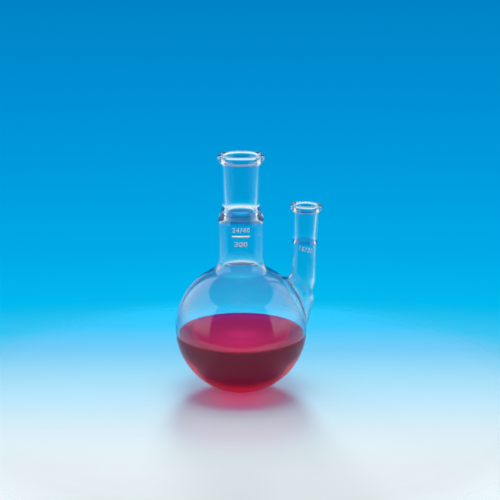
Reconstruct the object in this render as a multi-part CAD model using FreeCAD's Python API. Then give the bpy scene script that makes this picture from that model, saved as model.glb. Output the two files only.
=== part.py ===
import FreeCAD, Part
import math
import os
from collections import namedtuple

# Two-neck round-bottom flask of blown borosilicate glass, partly filled with a red solution.
# Millimetres, +Z up. The origin is the lowest point of the bulb, on the main neck's axis,
# and the side neck stands to +X. The glass is one piece: an outer form less a cavity, both
# made by the same functions from the same sizes, so that the wall follows every change.

# Bulb
BULB_RADIUS = 47.25          # outside of the ball
BULB_WALL = 1.8

# Ground sockets, both with the standard taper of 1 in 10 on the diameter
TAPER = 0.1

# Main neck: a 24/40 socket on a wider tube, upright over the bulb
MAIN_BORE = 24.0             # wide end of the ground bore
MAIN_GROUND = 40.0           # length of the ground bore
MAIN_MOUTH_WALL = 2.7        # under the lip
MAIN_FOOT_WALL = 3.1         # at the foot of the ground bore
MAIN_LIP_RADIUS = 16.4
MAIN_LIP_BAND = 1.2          # upright band round the lip, under its rounded rim
MAIN_LIP_DROP = 3.9          # from that band down to the socket's wall
MAIN_SHOULDER_RISE = 5.0     # the shoulder starts this far above the bore's foot
MAIN_SHOULDER_DROP = 9.0     # and ends this far below it
MAIN_TUBE_RADIUS = 16.2
MAIN_TUBE_WALL = 1.8
MAIN_TUBE_LENGTH = 27.3      # straight tube between the shoulder and the hollow at the bulb
NECK_HOLLOW = 8.0            # radius of the hollow where the neck meets the bulb

# Side neck: a 15/25 socket, leaning slightly outwards, on an arm blown out of the bulb
SIDE_BORE = 15.0
SIDE_GROUND = 25.0
SIDE_MOUTH_WALL = 2.1
SIDE_FOOT_WALL = 2.3
SIDE_LIP_RADIUS = 11.0
SIDE_LIP_BAND = 1.0
SIDE_LIP_DROP = 3.4
SIDE_SHOULDER_RISE = 1.5
SIDE_SHOULDER_DROP = 4.0
SIDE_TUBE_RADIUS = 8.8
SIDE_TUBE_WALL = 1.8
SIDE_CREST_HEIGHT = 137.75   # centre of the lip above the bulb's lowest point
SIDE_LEAN = 1.8              # degrees from upright
BEND_OVERHANG = 6.2          # how far the outside of the bend stands past the side of the bulb
BEND_RISE = 39.5             # height of the bend's top over the middle of the bulb
BEND_RADIUS = 16.0           # of the arm's centre line
BEND_TUBE_RADIUS = 9.1       # outside of the arm round the bend
ROOT_LEAN = 13.0             # degrees from upright, where the arm runs into the bulb
ROOT_RADIUS = 11.5           # outside of the arm where it runs into the bulb
ROOT_SWELL = 16.0            # length over which the arm widens from the bend to the root
CROTCH_HOLLOW = 4.5          # radius of the hollow between the arm and the bulb, at its top
FOOT_HOLLOW = 12.0           # and at its foot, where the root fades into the bulb

# Solution
LEVEL = 42.45                # height of the flat surface
MENISCUS_RISE = 1.5          # climb of the edge up the glass
MENISCUS_WIDTH = 2.2
LIQUID_GAP = 0.2             # clearance between the solution and the glass

CUT_MARGIN = 5.0             # how far the cavity passes the mouths
TOUCH = 0.001                # an edge this near a surface lies on it

ORIGIN = FreeCAD.Vector(0, 0, 0)
Y_AXIS = FreeCAD.Vector(0, 1, 0)
Z_AXIS = FreeCAD.Vector(0, 0, 1)
LEAN = TAPER / 2             # change of a ground bore's radius with height

# A socket in its own frame, with the centre of its crest at the origin. All are lengths or radii.
Socket = namedtuple("Socket", "bore ground mouth_wall foot_wall lip band drop rise fall tube tube_wall")

MAIN = Socket(MAIN_BORE / 2, MAIN_GROUND, MAIN_MOUTH_WALL, MAIN_FOOT_WALL, MAIN_LIP_RADIUS,
              MAIN_LIP_BAND, MAIN_LIP_DROP, MAIN_SHOULDER_RISE, MAIN_SHOULDER_DROP,
              MAIN_TUBE_RADIUS, MAIN_TUBE_WALL)
SIDE = Socket(SIDE_BORE / 2, SIDE_GROUND, SIDE_MOUTH_WALL, SIDE_FOOT_WALL, SIDE_LIP_RADIUS,
              SIDE_LIP_BAND, SIDE_LIP_DROP, SIDE_SHOULDER_RISE, SIDE_SHOULDER_DROP,
              SIDE_TUBE_RADIUS, SIDE_TUBE_WALL)


def spot(radius, height):
    return FreeCAD.Vector(radius, 0, height)


def line(a, b):
    return Part.LineSegment(a, b).toShape()


def arc(a, b, centre):
    """The short arc from a to b about a centre."""
    middle = (a - centre) + (b - centre)
    middle.normalize()
    return Part.Arc(a, centre + middle * a.distanceToPoint(centre), b).toShape()


def swell(a, b, lean_a, lean_b):
    """A smooth change of radius that leaves a and meets b at the given leans."""
    reach = (b.z - a.z) / 2
    curve = Part.BezierCurve()
    curve.setPoles([a, a + spot(lean_a * reach, reach), b - spot(lean_b * reach, reach), b])
    return curve.toShape()


def turned(start, edges):
    """A solid turned about Z from an outline that starts and ends on the axis."""
    end = spot(0, min(edges[-1].Vertexes, key=lambda corner: abs(corner.X)).Z)
    return Part.Face(Part.Wire(edges + [line(end, start)])).revolve(ORIGIN, Z_AXIS, 360)


def raised(edges, height):
    """The same edges, moved up."""
    for edge in edges:
        edge.translate(Z_AXIS * height)
    return edges


def on_taper(radius, depth):
    """A point on a ground taper that has the given radius at the crest."""
    return spot(radius - LEAN * depth, -depth)


def rim_radius(socket):
    """Rounding of the rim, which touches the bore, the crest and the lip's band."""
    return (socket.lip - socket.bore) / (1 + math.hypot(1, LEAN) - LEAN)


def socket_outside(socket):
    """Outline from the middle of the crest, over the lip and down to the foot of the shoulder."""
    rim = rim_radius(socket)
    crest = spot(socket.lip - rim, 0)
    band_top = spot(socket.lip, -rim)
    band_foot = band_top - spot(0, socket.band)
    wall_top = on_taper(socket.bore + socket.mouth_wall, rim + socket.band + socket.drop)
    wall_foot = on_taper(socket.bore + socket.foot_wall, socket.ground - socket.rise)
    lean = (wall_top.x - wall_foot.x) / (wall_top.z - wall_foot.z)
    shoulder_foot = spot(socket.tube, -socket.ground - socket.fall)
    return [line(ORIGIN, crest), arc(crest, band_top, crest - spot(0, rim)),
            line(band_top, band_foot), swell(band_foot, wall_top, 0, lean),
            line(wall_top, wall_foot), swell(wall_foot, shoulder_foot, lean, 0)]


def socket_inside(socket):
    """Outline of the cavity, from above the crest down the ground bore to the tube below it."""
    rim = rim_radius(socket)
    crest = spot(socket.lip - rim, 0)
    above = crest + spot(0, CUT_MARGIN)
    heart = crest - spot(0, rim)
    bore_top = heart + spot(-1, LEAN).normalize() * rim
    bore_foot = on_taper(socket.bore, socket.ground)
    shoulder_foot = spot(socket.tube - socket.tube_wall, -socket.ground - socket.fall)
    return [line(spot(0, CUT_MARGIN), above), line(above, crest), arc(crest, bore_top, heart),
            line(bore_top, bore_foot), swell(bore_foot, shoulder_foot, LEAN, 0)]


def ball_outline(tube, ball, hollow, foot):
    """Outline from a tube's shoulder down to the ball, round the hollow and to the lowest point."""
    heart = spot(0, BULB_RADIUS)
    reach = ball + hollow
    tube_foot = spot(tube, BULB_RADIUS + math.sqrt(reach ** 2 - (tube + hollow) ** 2))
    middle = tube_foot + spot(hollow, 0)
    on_ball = heart + (middle - heart) * (ball / reach)
    return [line(spot(tube, foot), tube_foot), arc(tube_foot, on_ball, middle),
            arc(on_ball, spot(0, BULB_RADIUS - ball), heart)]


def shoulder_height():
    """Height of the foot of the main neck's shoulder, over the straight tube."""
    reach = BULB_RADIUS + NECK_HOLLOW
    tube_foot = math.sqrt(reach ** 2 - (MAIN_TUBE_RADIUS + NECK_HOLLOW) ** 2)
    return BULB_RADIUS + tube_foot + MAIN_TUBE_LENGTH


def bulb_and_neck(outline, tube, ball, hollow):
    """The bulb and the main neck in one turned solid."""
    foot = shoulder_height()
    crest = foot + MAIN_GROUND + MAIN_SHOULDER_DROP
    edges = raised(outline, crest) + ball_outline(tube, ball, hollow, foot)
    return turned(edges[0].Vertexes[0].Point, edges)


def side_crest():
    """Centre of the side neck's crest, up the leaning axis from the top of the bend, and that top."""
    bend = spot(BULB_RADIUS + BEND_OVERHANG - BEND_TUBE_RADIUS, BULB_RADIUS + BEND_RISE)
    rise = SIDE_CREST_HEIGHT - bend.z
    return bend + spot(rise * math.tan(math.radians(SIDE_LEAN)), rise), bend


def side_arm(outline, inset):
    """The side neck, its bend and the root, whose rounded end is level with the bulb's middle and
    inside it. All are inset from their outside."""
    crest, bend_place = side_crest()
    top = spot(0, -crest.distanceToPoint(bend_place))
    shoulder_foot = spot(SIDE_TUBE_RADIUS - inset, -SIDE_GROUND - SIDE_SHOULDER_DROP)
    bend_top = top + spot(BEND_TUBE_RADIUS - inset, 0)
    root_top = spot(ROOT_RADIUS - inset, top.z - ROOT_SWELL)
    heart = top - spot(0, BEND_RISE)
    root_foot = heart + spot(root_top.x, 0)
    pivot = top - spot(BEND_RADIUS, 0)
    turn = ROOT_LEAN - SIDE_LEAN
    neck = turned(outline[0].Vertexes[0].Point,
                  outline + [swell(shoulder_foot, bend_top, 0, 0), line(bend_top, top)])
    ring = Part.Circle(top, Z_AXIS, bend_top.x).toShape()
    bend = Part.Face(Part.Wire(ring)).revolve(pivot, Y_AXIS, turn)
    root = turned(top, [line(top, bend_top), swell(bend_top, root_top, 0, 0),
                        line(root_top, root_foot), arc(root_foot, heart - spot(0, root_foot.x), heart)])
    root.rotate(pivot, Y_AXIS, turn)
    arm = neck.fuse([bend, root]).removeSplitter()
    arm.rotate(ORIGIN, Y_AXIS, SIDE_LEAN)
    arm.translate(crest)
    return arm


def lies_on(edge, shape):
    """Whether the middle of an edge is on the surface of a shape."""
    middle = edge.valueAt((edge.FirstParameter + edge.LastParameter) / 2)
    return shape.Shells[0].distToShape(Part.Vertex(middle))[0] < TOUCH


def ends(edge):
    """The two ends of an edge, in the order in which a fillet takes their radii."""
    points = [edge.valueAt(edge.FirstParameter), edge.valueAt(edge.LastParameter)]
    return points[::-1] if edge.Orientation == "Reversed" else points


def blown_together(ball, arm, wall):
    """The ball and the arm in one, with a hollow where they meet that widens downwards."""
    whole = ball.fuse(arm).removeSplitter()
    crease = [(number + 1, ends(edge)) for number, edge in enumerate(whole.Edges)
              if lies_on(edge, ball) and lies_on(edge, arm)]
    heights = [point.z for number, points in crease for point in points]
    widening = (FOOT_HOLLOW - CROTCH_HOLLOW) / (max(heights) - min(heights))
    document = FreeCAD.newDocument()
    joined = document.addObject("Part::Feature")
    joined.Shape = whole
    blend = document.addObject("Part::Fillet")
    blend.Base = joined
    blend.Edges = [(number, *(wall + CROTCH_HOLLOW + widening * (max(heights) - point.z)
                              for point in points)) for number, points in crease]
    document.recompute()
    shape = blend.Shape.copy()
    FreeCAD.closeDocument(document.Name)
    return shape


def flask():
    """The glass: the outer form less the cavity."""
    outer_ball = bulb_and_neck(socket_outside(MAIN), MAIN_TUBE_RADIUS, BULB_RADIUS, NECK_HOLLOW)
    inner_ball = bulb_and_neck(socket_inside(MAIN), MAIN_TUBE_RADIUS - MAIN_TUBE_WALL,
                               BULB_RADIUS - BULB_WALL, NECK_HOLLOW + BULB_WALL)
    outer_arm = side_arm(socket_outside(SIDE), 0)
    inner_arm = side_arm(socket_inside(SIDE), SIDE_TUBE_WALL)
    outside = blown_together(outer_ball, outer_arm, 0)
    cavity = blown_together(inner_ball, inner_arm, BULB_WALL)
    return outside.cut(cavity)


def solution():
    """The red solution, level in the ball, with an edge that climbs the glass."""
    ball = BULB_RADIUS - BULB_WALL - LIQUID_GAP
    edge_height = LEVEL + MENISCUS_RISE
    edge = spot(math.sqrt(ball ** 2 - (edge_height - BULB_RADIUS) ** 2), edge_height)
    flat_end = spot(edge.x - MENISCUS_WIDTH, LEVEL)
    curl = (MENISCUS_WIDTH ** 2 + MENISCUS_RISE ** 2) / (2 * MENISCUS_RISE)
    middle = spot(0, LEVEL)
    return turned(middle, [line(middle, flat_end), arc(flat_end, edge, flat_end + spot(0, curl)),
                           arc(edge, spot(0, BULB_RADIUS - ball), spot(0, BULB_RADIUS))])


def save(name, shape):
    solids = shape.Solids
    print(name, "valid", shape.isValid(), "solids", len(solids), "volume", round(shape.Volume, 1))
    solids[0].exportStep("parts/" + name + ".step")


os.makedirs("parts", exist_ok=True)
save("flask", flask())
save("solution", solution())
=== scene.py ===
import bmesh
import bpy
import math
from mathutils import Matrix, Vector


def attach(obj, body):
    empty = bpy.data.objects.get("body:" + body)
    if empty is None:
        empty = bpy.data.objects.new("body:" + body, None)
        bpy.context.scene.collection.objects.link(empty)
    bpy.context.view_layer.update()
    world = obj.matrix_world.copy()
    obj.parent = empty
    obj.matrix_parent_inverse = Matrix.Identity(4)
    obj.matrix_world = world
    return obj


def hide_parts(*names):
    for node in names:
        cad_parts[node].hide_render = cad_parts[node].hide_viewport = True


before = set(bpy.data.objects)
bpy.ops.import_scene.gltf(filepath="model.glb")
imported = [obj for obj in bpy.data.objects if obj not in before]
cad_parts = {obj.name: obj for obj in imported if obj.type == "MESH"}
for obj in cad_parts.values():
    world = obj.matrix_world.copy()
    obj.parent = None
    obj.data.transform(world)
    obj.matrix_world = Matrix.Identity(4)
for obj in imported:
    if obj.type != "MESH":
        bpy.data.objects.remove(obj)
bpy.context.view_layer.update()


# Flask. One piece of clear borosilicate glass, blown, its two sockets ground and their rims
# fire polished. The CAD solid already has its walls, lips and blended side arm, so it stays
# and only gets the finish of the real glass.
def linear(hex_colour):
    """An sRGB colour such as "8fd0f0" as linear red, green and blue with a full alpha."""
    values = [int(hex_colour[place:place + 2], 16) / 255 for place in (0, 2, 4)]
    return [v / 12.92 if v <= 0.04045 else ((v + 0.055) / 1.055) ** 2.4 for v in values] + [1.0]


def node(tree, kind, links=(), numbered=(), **settings):
    """Adds a node, sets its attributes and its named and numbered inputs, and links it up."""
    made = tree.nodes.new(kind)
    for name, value in settings.items():
        if hasattr(made, name):
            setattr(made, name, value)
        else:
            made.inputs[name.replace("_", " ")].default_value = value
    for number, value in numbered:
        made.inputs[number].default_value = value
    for source, output, target in links:
        tree.links.new(source.outputs[output], made.inputs[target])
    return made


def blank_material(name):
    """A material with an empty node tree and its output node."""
    made = bpy.data.materials.new(name)
    made.use_nodes = True
    made.node_tree.nodes.clear()
    return made, made.node_tree, made.node_tree.nodes.new("ShaderNodeOutputMaterial")


MM = 0.001
BULB_RADIUS = 47.25 * MM
WALL = 1.8 * MM
LEVEL = 42.45 * MM         # of the solution in the bulb
MENISCUS_RISE = 1.5 * MM
WET_SHINE = 0.07           # what the solution leaves of the mirror image in the wall behind it
MIRRORED = 2               # light that was mirrored more often than this is let out of the wall


def nearer(tree, place, radius):
    """1 where the surface is nearer to the bulb's centre than a radius, and 0 elsewhere."""
    away = node(tree, "ShaderNodeVectorMath", [(place, "Object", 0)], [(1, (0, 0, BULB_RADIUS))],
                operation="DISTANCE")
    return node(tree, "ShaderNodeMath", [(away, "Value", 0)], [(1, radius)], operation="LESS_THAN")


def lets_light_by(tree, body, output, colour):
    """Sends the lamps' rays straight through a clear body instead of stopping them at its skin, and
    lets out what has been mirrored to and fro inside its wall, which would end up black."""
    clear = node(tree, "ShaderNodeBsdfTransparent", Color=linear(colour))
    ray = node(tree, "ShaderNodeLightPath")
    caught = node(tree, "ShaderNodeMath", [(ray, "Glossy Depth", 0)], [(1, MIRRORED)],
                  operation="GREATER_THAN")
    straight = node(tree, "ShaderNodeMath", [(ray, "Is Shadow Ray", 0), (caught, 0, 1)],
                    operation="MAXIMUM")
    surface = node(tree, "ShaderNodeMixShader", [(straight, 0, 0), (body, 0, 1), (clear, 0, 2)])
    tree.links.new(surface.outputs[0], output.inputs["Surface"])


def borosilicate_glass():
    """Fire-polished and clear: it shows only its reflections and the bending of what is behind.
    Where the solution wets its inside, it loses nearly all of that side's mirror image."""
    glass, tree, output = blank_material("borosilicate_glass")
    place = node(tree, "ShaderNodeTexCoord")
    inside = nearer(tree, place, BULB_RADIUS - WALL / 2)
    parts = node(tree, "ShaderNodeSeparateXYZ", [(place, "Object", 0)])
    low = node(tree, "ShaderNodeMath", [(parts, "Z", 0)], [(1, LEVEL + MENISCUS_RISE)],
               operation="LESS_THAN")
    wet = node(tree, "ShaderNodeMath", [(inside, 0, 0), (low, 0, 1)], operation="MULTIPLY")
    shine = node(tree, "ShaderNodeMapRange", [(wet, 0, 0)], To_Min=1.0, To_Max=WET_SHINE)
    body = node(tree, "ShaderNodeBsdfPrincipled", [(shine, 0, "Specular Tint")],
                Base_Color=linear("ffffff"), Roughness=0.0, IOR=1.47, Transmission_Weight=1.0)
    lets_light_by(tree, body, output, "ececec")
    return glass


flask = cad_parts["flask"]
flask.material_slots[0].material = borosilicate_glass()


# Marks. White enamel, screen printed on both necks and fired: the joint sizes and the capacity
# as plain numbers, and a plain bar between them.
FILM = 0.04 * MM           # thickness of the fired enamel
GAP = 0.05 * FILM          # between the enamel's back and the glass
STRIP = 0.4 * MM           # a mark is cut into upright strips, so that it lies round the neck
NUMERAL_SIZE = 5 * MM
NUMERAL_BOLD = 0.1 * MM    # by which a stroke grows on either side
NUMERAL_STEPS = 3          # to a curve
MERGE = 0.002 * MM         # points nearer than this become one
GRAIN = 0.35 * MM          # of the print's mesh, as coarse as it needs to be to show
MAIN_TUBE_RADIUS = 16.2 * MM
SIDE_TUBE_RADIUS = 8.8 * MM
SIDE_CREST = (45.95 * MM, 0, 137.75 * MM)
SIDE_LEAN = 1.8            # degrees
ENAMEL_STOPS = [(0.3, "eee2ec"), (0.5, "fffafd")]


def new_piece(name, bm, material):
    """A finished mesh as an object that rides on the flask."""
    mesh = bpy.data.meshes.new(name)
    bm.to_mesh(mesh)
    bm.free()
    mesh.materials.append(material)
    mesh.shade_smooth()
    piece = bpy.data.objects.new(name, mesh)
    bpy.context.scene.collection.objects.link(piece)
    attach(piece, "root")
    return piece


def coloured(tree, source, output, stops):
    """Turns a value into colours, from a list of places and colours along it."""
    ramp = node(tree, "ShaderNodeValToRGB", [(source, output, 0)])
    points = ramp.color_ramp.elements
    while len(points) < len(stops):
        points.new(0.5)
    for point, (position, colour) in zip(points, stops):
        point.position = position
        point.color = linear(colour)
    return ramp


def fired_enamel():
    """Opaque white glass paste: faintly pink and satin, and thinner in places from the screen."""
    enamel, tree, output = blank_material("fired_enamel")
    place = node(tree, "ShaderNodeTexCoord")
    grain = node(tree, "ShaderNodeTexNoise", [(place, "Object", "Vector")], Scale=1 / GRAIN, Detail=2.0)
    ramp = coloured(tree, grain, 0, ENAMEL_STOPS)
    bump = node(tree, "ShaderNodeBump", [(grain, 0, "Height")], Strength=0.2, Distance=FILM / 4)
    satin = node(tree, "ShaderNodeBsdfPrincipled", [(ramp, "Color", "Base Color"), (bump, 0, "Normal")],
                 Roughness=0.45, IOR=1.5)
    tree.links.new(satin.outputs[0], output.inputs["Surface"])
    return enamel


def numerals(words, spacing):
    """A row of numbers as a closed film that lies flat, with its front up."""
    curve = bpy.data.curves.new("numerals", "FONT")
    curve.body = words
    curve.size = NUMERAL_SIZE
    curve.space_character = spacing
    curve.extrude = FILM / 2
    curve.resolution_u = NUMERAL_STEPS
    curve.offset = NUMERAL_BOLD
    row = bpy.data.objects.new("numerals", curve)
    bpy.context.scene.collection.objects.link(row)
    flat = bpy.data.meshes.new_from_object(row.evaluated_get(bpy.context.evaluated_depsgraph_get()))
    bpy.data.objects.remove(row)
    bm = bmesh.new()
    bm.from_mesh(flat)
    bmesh.ops.remove_doubles(bm, verts=bm.verts[:], dist=MERGE)
    return bm


def bar():
    """A plain bar of the same film."""
    bm = bmesh.new()
    bmesh.ops.create_cube(bm, size=FILM)
    return bm


def wrap(bm, width, height, radius, along, turn=0, tilt=0, crest=(0, 0, 0), lean=0):
    """Sizes a flat film, tilts it and lays it round a neck's front. Width, height and the place
    along the neck's axis, from the point crest on it, are in millimetres."""
    width, height, along = width * MM, height * MM, along * MM
    low = Vector([min(v.co[axis] for v in bm.verts) for axis in range(3)])
    high = Vector([max(v.co[axis] for v in bm.verts) for axis in range(3)])
    bmesh.ops.translate(bm, vec=-(low + high) / 2, verts=bm.verts[:])
    bmesh.ops.scale(bm, vec=(width / (high.x - low.x), height / (high.y - low.y), 1), verts=bm.verts[:])
    bmesh.ops.rotate(bm, matrix=Matrix.Rotation(math.radians(tilt), 3, "Z"), verts=bm.verts[:])
    reach = math.hypot(width, height) / 2
    for strip in range(-int(reach / STRIP), int(reach / STRIP) + 1):
        bmesh.ops.bisect_plane(bm, geom=bm.verts[:] + bm.edges[:] + bm.faces[:], dist=1e-8,
                               plane_co=(strip * STRIP, 0, 0), plane_no=(1, 0, 0))
    bmesh.ops.triangulate(bm, faces=bm.faces[:])
    for vert in bm.verts:
        angle = math.radians(turn) + vert.co.x / radius
        out = radius + GAP + FILM / 2 + vert.co.z
        vert.co = Vector((out * math.sin(angle), -out * math.cos(angle), along + vert.co.y))
    bmesh.ops.rotate(bm, matrix=Matrix.Rotation(math.radians(lean), 3, "Y"), verts=bm.verts[:])
    bmesh.ops.translate(bm, vec=crest, verts=bm.verts[:])
    bmesh.ops.recalc_face_normals(bm, faces=bm.faces[:])
    return bm


enamel = fired_enamel()
for name, film in (
        ("mark_main_joint", wrap(numerals("24/40", 1.25), 12.4, 3.3, MAIN_TUBE_RADIUS, 122.2)),
        ("mark_main_bar", wrap(bar(), 12.8, 1.3, MAIN_TUBE_RADIUS, 117.6)),
        ("mark_main_capacity", wrap(numerals("300", 1.0), 9.2, 3.5, MAIN_TUBE_RADIUS, 112.2)),
        ("mark_side_joint", wrap(numerals("15/25", 1.25), 10.0, 3.2, SIDE_TUBE_RADIUS, -31.2, turn=5,
                                 tilt=-12, crest=SIDE_CREST, lean=SIDE_LEAN))):
    new_piece(name, film, enamel)


# Solution. A clear crimson liquid that fills the bulb to just under its middle. Its edge climbs
# the wetted glass in a narrow meniscus all the way round, and its skin is level.
WETTING = 0.4 * MM         # how far the liquid's skin lies inside the wall, so that no air is between
MENISCUS_WIDTH = 2.2 * MM
MENISCUS_STEPS = 10
DYE = (0.9955, 0.0, 0.68, 1.0)  # linear, as a hex code is too coarse: the red, green and blue kept
DYE_DENSITY = 200.0        # per metre


def crimson_solution():
    """A dye in water: it swallows green at once and blue soon after, and its fine grains send a
    little crimson back. Only its level top mirrors, because its side touches the glass."""
    liquid, tree, output = blank_material("crimson_solution")
    top = nearer(tree, node(tree, "ShaderNodeTexCoord"), BULB_RADIUS - WALL + WETTING / 4)
    skin = node(tree, "ShaderNodeBsdfPrincipled", [(top, 0, "Specular Tint")],
                Base_Color=linear("fb3894"), Roughness=0.0, IOR=1.333, Transmission_Weight=0.79)
    dye = node(tree, "ShaderNodeVolumeAbsorption", Color=DYE, Density=DYE_DENSITY)
    lets_light_by(tree, skin, output, "ffffff")
    tree.links.new(dye.outputs["Volume"], output.inputs["Volume"])
    return liquid


def solution_mesh():
    """A ball cut off at the meniscus, with its open rim drawn in and down to the level surface."""
    centre = Vector((0, 0, BULB_RADIUS))
    outer = BULB_RADIUS - WALL + WETTING
    top = LEVEL + MENISCUS_RISE
    bm = bmesh.new()
    bmesh.ops.create_uvsphere(bm, u_segments=192, v_segments=128, radius=outer,
                              matrix=Matrix.Translation(centre))
    cut = bmesh.ops.bisect_plane(bm, geom=bm.verts[:] + bm.edges[:] + bm.faces[:], dist=1e-7,
                                 plane_co=(0, 0, top), plane_no=(0, 0, 1), clear_outer=True)
    rim = [part for part in cut["geom_cut"] if isinstance(part, bmesh.types.BMEdge)]
    wall_radius = math.sqrt((BULB_RADIUS - WALL) ** 2 - (top - BULB_RADIUS) ** 2)
    for step in range(MENISCUS_STEPS + 1):
        share = step / MENISCUS_STEPS
        radius = wall_radius - MENISCUS_WIDTH * share
        height = LEVEL + MENISCUS_RISE * (1 - share) ** 2
        grown = bmesh.ops.extrude_edge_only(bm, edges=rim)["geom"]
        rim = [part for part in grown if isinstance(part, bmesh.types.BMEdge)]
        ring = [part for part in grown if isinstance(part, bmesh.types.BMVert)]
        here = ring[0].co.copy()
        factor = radius / math.hypot(here.x, here.y)
        bmesh.ops.scale(bm, vec=(factor, factor, 1), verts=ring)
        bmesh.ops.translate(bm, vec=(0, 0, height - here.z), verts=ring)
    bmesh.ops.contextual_create(bm, geom=rim)
    bmesh.ops.recalc_face_normals(bm, faces=bm.faces[:])
    return bm


solution = new_piece("solution_liquid", solution_mesh(), crimson_solution())
solution.data.set_sharp_from_angle(angle=math.radians(30))
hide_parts("solution")


# Floor and backdrop. A smooth pale sheet that is white in front of the flask and turns blue
# behind it, and soft blue studio space all round.
FLOOR_RADIUS = 0.24
FLOOR_FRONT = -0.16
FLOOR_BACK = 0.30
FLOOR_STOPS = [(-0.150, "eef8fd"), (-0.103, "e6f6fd"), (-0.063, "d3eefb"), (-0.021, "b6e2f7"),
               (0.034, "90ceea"), (0.086, "68bae1"), (0.149, "32aedc"), (0.226, "02a8d8"),
               (0.300, "00a4d6")]
FADE_START = 0.78 * FLOOR_RADIUS
ROOM = "004474"            # the unlit room in front of the flask, which only mirror images show; also the colour of the shade painted on the sheet in them
MIRROR_PAINTED_SHADE = 0.35          # painted shade: in mirror images the sheet's colour is mixed this far towards the room's dark navy
SHEET_FRONT = (-0.15, -0.185)  # over this stretch that painted shade deepens until the sheet is nearly the room's colour in those images
FRONT_PAINTED_SHADE = 0.95


def floor_material():
    """Matt paper. It lets the backdrop through towards its rim, so that it has no edge. In mirror images
    its colour is painted darker, towards the room's navy, most of all at its front.
    """
    paper, tree, output = blank_material("matt_paper")
    place = node(tree, "ShaderNodeTexCoord")
    parts = node(tree, "ShaderNodeSeparateXYZ", [(place, "Object", 0)])
    along = node(tree, "ShaderNodeMapRange", [(parts, "Y", 0)], From_Min=FLOOR_FRONT,
                 From_Max=FLOOR_BACK)
    span = FLOOR_BACK - FLOOR_FRONT
    ramp = coloured(tree, along, 0, [((y - FLOOR_FRONT) / span, c) for y, c in FLOOR_STOPS])
    ray = node(tree, "ShaderNodeLightPath")
    bounced = node(tree, "ShaderNodeMath", [(ray, "Glossy Depth", 0)], operation="GREATER_THAN")
    ahead = node(tree, "ShaderNodeMapRange", [(parts, "Y", 0)], From_Min=SHEET_FRONT[0],
                 From_Max=SHEET_FRONT[1], To_Min=MIRROR_PAINTED_SHADE, To_Max=FRONT_PAINTED_SHADE)
    # painted shade: for rays that were mirrored, the sheet's colour is mixed towards the room's dark
    # navy
    painted_shade = node(tree, "ShaderNodeMath", [(bounced, 0, 0), (ahead, 0, 1)], operation="MULTIPLY")
    seen = node(tree, "ShaderNodeMixRGB", [(painted_shade, 0, 0), (ramp, "Color", 1)], [(2, linear(ROOM))])
    matt = node(tree, "ShaderNodeBsdfDiffuse", [(seen, 0, "Color")])
    away = node(tree, "ShaderNodeVectorMath", [(place, "Object", 0)], operation="LENGTH")
    fade = node(tree, "ShaderNodeMapRange", [(away, "Value", 0)], interpolation_type="SMOOTHSTEP",
                From_Min=FADE_START, From_Max=FLOOR_RADIUS)
    clear = node(tree, "ShaderNodeBsdfTransparent")
    surface = node(tree, "ShaderNodeMixShader", [(fade, 0, 0), (matt, 0, 1), (clear, 0, 2)])
    tree.links.new(surface.outputs[0], output.inputs["Surface"])
    return paper


floor_bm = bmesh.new()
bmesh.ops.create_circle(floor_bm, cap_ends=True, segments=96, radius=FLOOR_RADIUS)
floor_mesh = bpy.data.meshes.new("floor")
floor_bm.to_mesh(floor_mesh)
floor_bm.free()
floor = bpy.data.objects.new("floor", floor_mesh)
floor_mesh.materials.append(floor_material())
bpy.context.scene.collection.objects.link(floor)

SKY_STOPS = [(-0.41, "ecf8fd"), (-0.397, "e6f6fd"), (-0.3795, "d1edfb"), (-0.3615, "bbe5f9"),
             (-0.343, "97d8f6"), (-0.3243, "73cef5"), (-0.3054, "39c4f2"), (-0.2864, "02baef"),
             (-0.2446, "00aae7"), (-0.204, "00a1e1"), (-0.163, "0098db"), (-0.114, "008fd3"),
             (0.0, "007cc0"), (0.15, "006cae"), (0.31, "2c84b6"), (0.40, "94b8cc"), (0.50, "dce4ec"),
             (1.0, "dcecf4")]
FILL = 0.07                # radiance of the plain soft light that matt surfaces get from all round
ROOM_AHEAD = (0.2, -0.4)   # the room starts over this stretch of directions towards the front
ROOM_ABOVE = (0.1, 0.3)    # and over this one upwards
PALE_SIDES = "b4d8ec"      # the sheet is white again to the left and right of its blue middle
PALE_ASIDE = (0.45, 0.85)
PALE_BELOW = (-0.20, -0.30)
WINDOW = 1.0               # radiance of a soft box that the glass mirrors
WINDOW_TURN = (0.48, 1.12)     # middle and half width of a soft box at either side: y over x
WINDOW_RISE = (0.20, 0.49)     # middle and half height: sine of the elevation
WINDOW_FOOT = (-0.21, 0.14)    # over this height its lower edge fades in, in a mirror image
WINDOW_THROUGH = (0.15, 0.25)  # and over this one where it is seen through the glass


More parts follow.
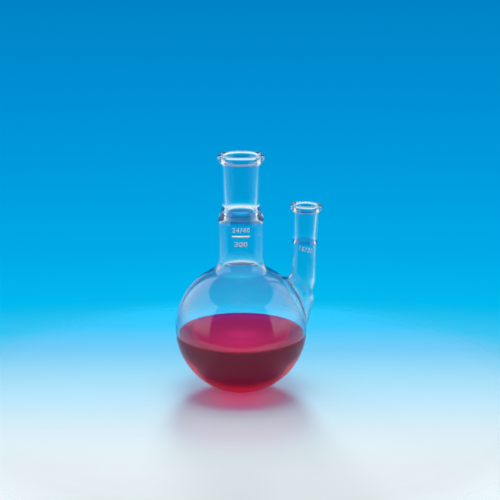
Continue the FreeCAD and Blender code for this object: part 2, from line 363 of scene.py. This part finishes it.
def studio_space():
    """The backdrop by height above or below the horizon, and a plain soft fill light. A mirror image
    shows the dark room in front and two wide soft boxes at the sides as well."""
    world = bpy.data.worlds.new("studio")
    bpy.context.scene.world = world
    world.use_nodes = True
    tree = world.node_tree
    tree.nodes.clear()
    place = node(tree, "ShaderNodeTexCoord")
    parts = node(tree, "ShaderNodeSeparateXYZ", [(place, "Generated", 0)])
    lowest, highest = SKY_STOPS[0][0], SKY_STOPS[-1][0]
    up = node(tree, "ShaderNodeMapRange", [(parts, "Z", 0)], From_Min=lowest, From_Max=highest)
    ramp = coloured(tree, up, 0, [((z - lowest) / (highest - lowest), c) for z, c in SKY_STOPS])
    sideways = node(tree, "ShaderNodeMath", [(parts, "X", 0)], operation="ABSOLUTE")
    fades = [node(tree, "ShaderNodeMapRange", [(source, output, 0)], interpolation_type="SMOOTHSTEP",
                  From_Min=start, From_Max=end)
             for source, output, (start, end) in (
                 (parts, "Y", ROOM_AHEAD), (parts, "Z", ROOM_ABOVE), (sideways, 0, PALE_ASIDE),
                 (parts, "Z", PALE_BELOW), (parts, "Z", WINDOW_FOOT), (parts, "Z", WINDOW_THROUGH))]
    ahead, above, aside, below, mirrored_foot, seen_foot = fades

    pale = node(tree, "ShaderNodeMath", [(aside, 0, 0), (below, 0, 1)], operation="MULTIPLY")
    sheet = node(tree, "ShaderNodeMixRGB", [(pale, 0, 0), (ramp, "Color", 1)], [(2, linear(PALE_SIDES))])

    ray = node(tree, "ShaderNodeLightPath")
    bounced = node(tree, "ShaderNodeMath", [(ray, "Glossy Depth", 0)], operation="GREATER_THAN")
    dark = node(tree, "ShaderNodeMath", [(ahead, 0, 0), (above, 0, 1)], operation="MAXIMUM")
    unlit = node(tree, "ShaderNodeMath", [(bounced, 0, 0), (dark, 0, 1)], operation="MULTIPLY")
    around = node(tree, "ShaderNodeMixRGB", [(unlit, 0, 0), (sheet, 0, 1)], [(2, linear(ROOM))])

    turn = node(tree, "ShaderNodeMath", [(parts, "Y", 0), (sideways, 0, 1)], operation="DIVIDE")
    image = node(tree, "ShaderNodeMath", [(mirrored_foot, 0, 0), (bounced, 0, 1)], operation="MULTIPLY")
    window = node(tree, "ShaderNodeMath", [(image, 0, 0), (seen_foot, 0, 1)], operation="MAXIMUM")
    for source, output, (middle, half) in (turn, 0, WINDOW_TURN), (parts, "Z", WINDOW_RISE):
        within = node(tree, "ShaderNodeMath", [(source, output, 0)], [(1, middle), (2, half)],
                      operation="COMPARE")
        window = node(tree, "ShaderNodeMath", [(window, 0, 0), (within, 0, 1)], operation="MULTIPLY")
    boxes = node(tree, "ShaderNodeMixRGB", [(window, 0, 0), (around, 0, 1)],
                 [(2, (WINDOW, WINDOW, WINDOW, 1))])

    seen = node(tree, "ShaderNodeBackground", [(boxes, 0, "Color")], Strength=1.0)
    fill = node(tree, "ShaderNodeBackground", Color=linear("ffffff"), Strength=FILL)
    direct = node(tree, "ShaderNodeMath", [(ray, "Is Camera Ray", 0), (ray, "Is Glossy Ray", 1)],
                  operation="MAXIMUM")
    shown = node(tree, "ShaderNodeMath", [(direct, 0, 0), (ray, "Is Transmission Ray", 1)],
                 operation="MAXIMUM")
    before_matt = node(tree, "ShaderNodeMath", [(shown, 0, 0), (ray, "Diffuse Depth", 1)],
                       operation="GREATER_THAN")
    lit = node(tree, "ShaderNodeMixShader", [(before_matt, 0, 0), (fill, 0, 1), (seen, 0, 2)])
    node(tree, "ShaderNodeOutputWorld", [(lit, 0, "Surface")])


studio_space()


# Lights. Soft lamps above, behind and in front at both sides light the flask and its floor, and
# a narrow beam goes down through the solution. The wide soft boxes that the glass mirrors are
# part of the studio space above, so no lamp shows through the glass from any side.
def in_place(name, light, place):
    """A lamp as an object that no eye, mirror image or glass shows."""
    lamp = bpy.data.objects.new(name, light)
    lamp.location = place
    lamp.visible_camera = lamp.visible_glossy = lamp.visible_transmission = False
    bpy.context.scene.collection.objects.link(lamp)
    return lamp


def softbox(name, place, aim_height, width, height, radiance):
    """A rectangular lamp that faces a point on the flask's axis."""
    light = bpy.data.lights.new(name, "AREA")
    light.shape = "RECTANGLE"
    light.size = width
    light.size_y = height
    light.energy = 4 * width * height * radiance  # a lamp's watts make four times its area shine
    box = in_place(name, light, place)
    box.rotation_euler = (Vector(place) - Vector((0, 0, aim_height))).to_track_quat("Z", "Y").to_euler()


for hand, side in ("left", -1), ("right", 1):
    softbox("softbox_front_" + hand, (0.5 * side, -0.8, 0.38), 0.08, 0.50, 0.50, 0.9)
    softbox("softbox_" + hand, (0.45 * side, 0.32, 0.32), 0.05, 0.50, 0.40, 0.9)
softbox("softbox_over", (0, 0.05, 0.90), 0.05, 0.50, 0.50, 3.8)
softbox("softbox_behind", (0, 0.60, 0.45), 0.05, 0.16, 0.20, 32.0)

beam = bpy.data.lights.new("spot_over", "SPOT")
beam.energy = 62
beam.spot_size = math.radians(3.3)
beam.spot_blend = 1.0
beam.shadow_soft_size = 0.02
in_place("spot_over", beam, (0, -0.014, 0.90))


# Camera. It stands at the height and distance of the photograph's, worked out from the four
# known lengths of the two ground joints, and looks down on the flask a little.
LOOKS_DOWN = 14.16         # degrees
LOOKS_RIGHT = 0.44
camera_data = bpy.data.cameras.new("camera")
camera_data.lens = 86.4
camera_data.sensor_width = 36
camera = bpy.data.objects.new("camera", camera_data)
camera.location = (0, -0.8251, 0.31245)
camera.rotation_euler = (math.radians(90 - LOOKS_DOWN), 0, math.radians(-LOOKS_RIGHT))
bpy.context.scene.collection.objects.link(camera)
bpy.context.scene.camera = camera
bpy.context.scene.view_settings.view_transform = "Standard"
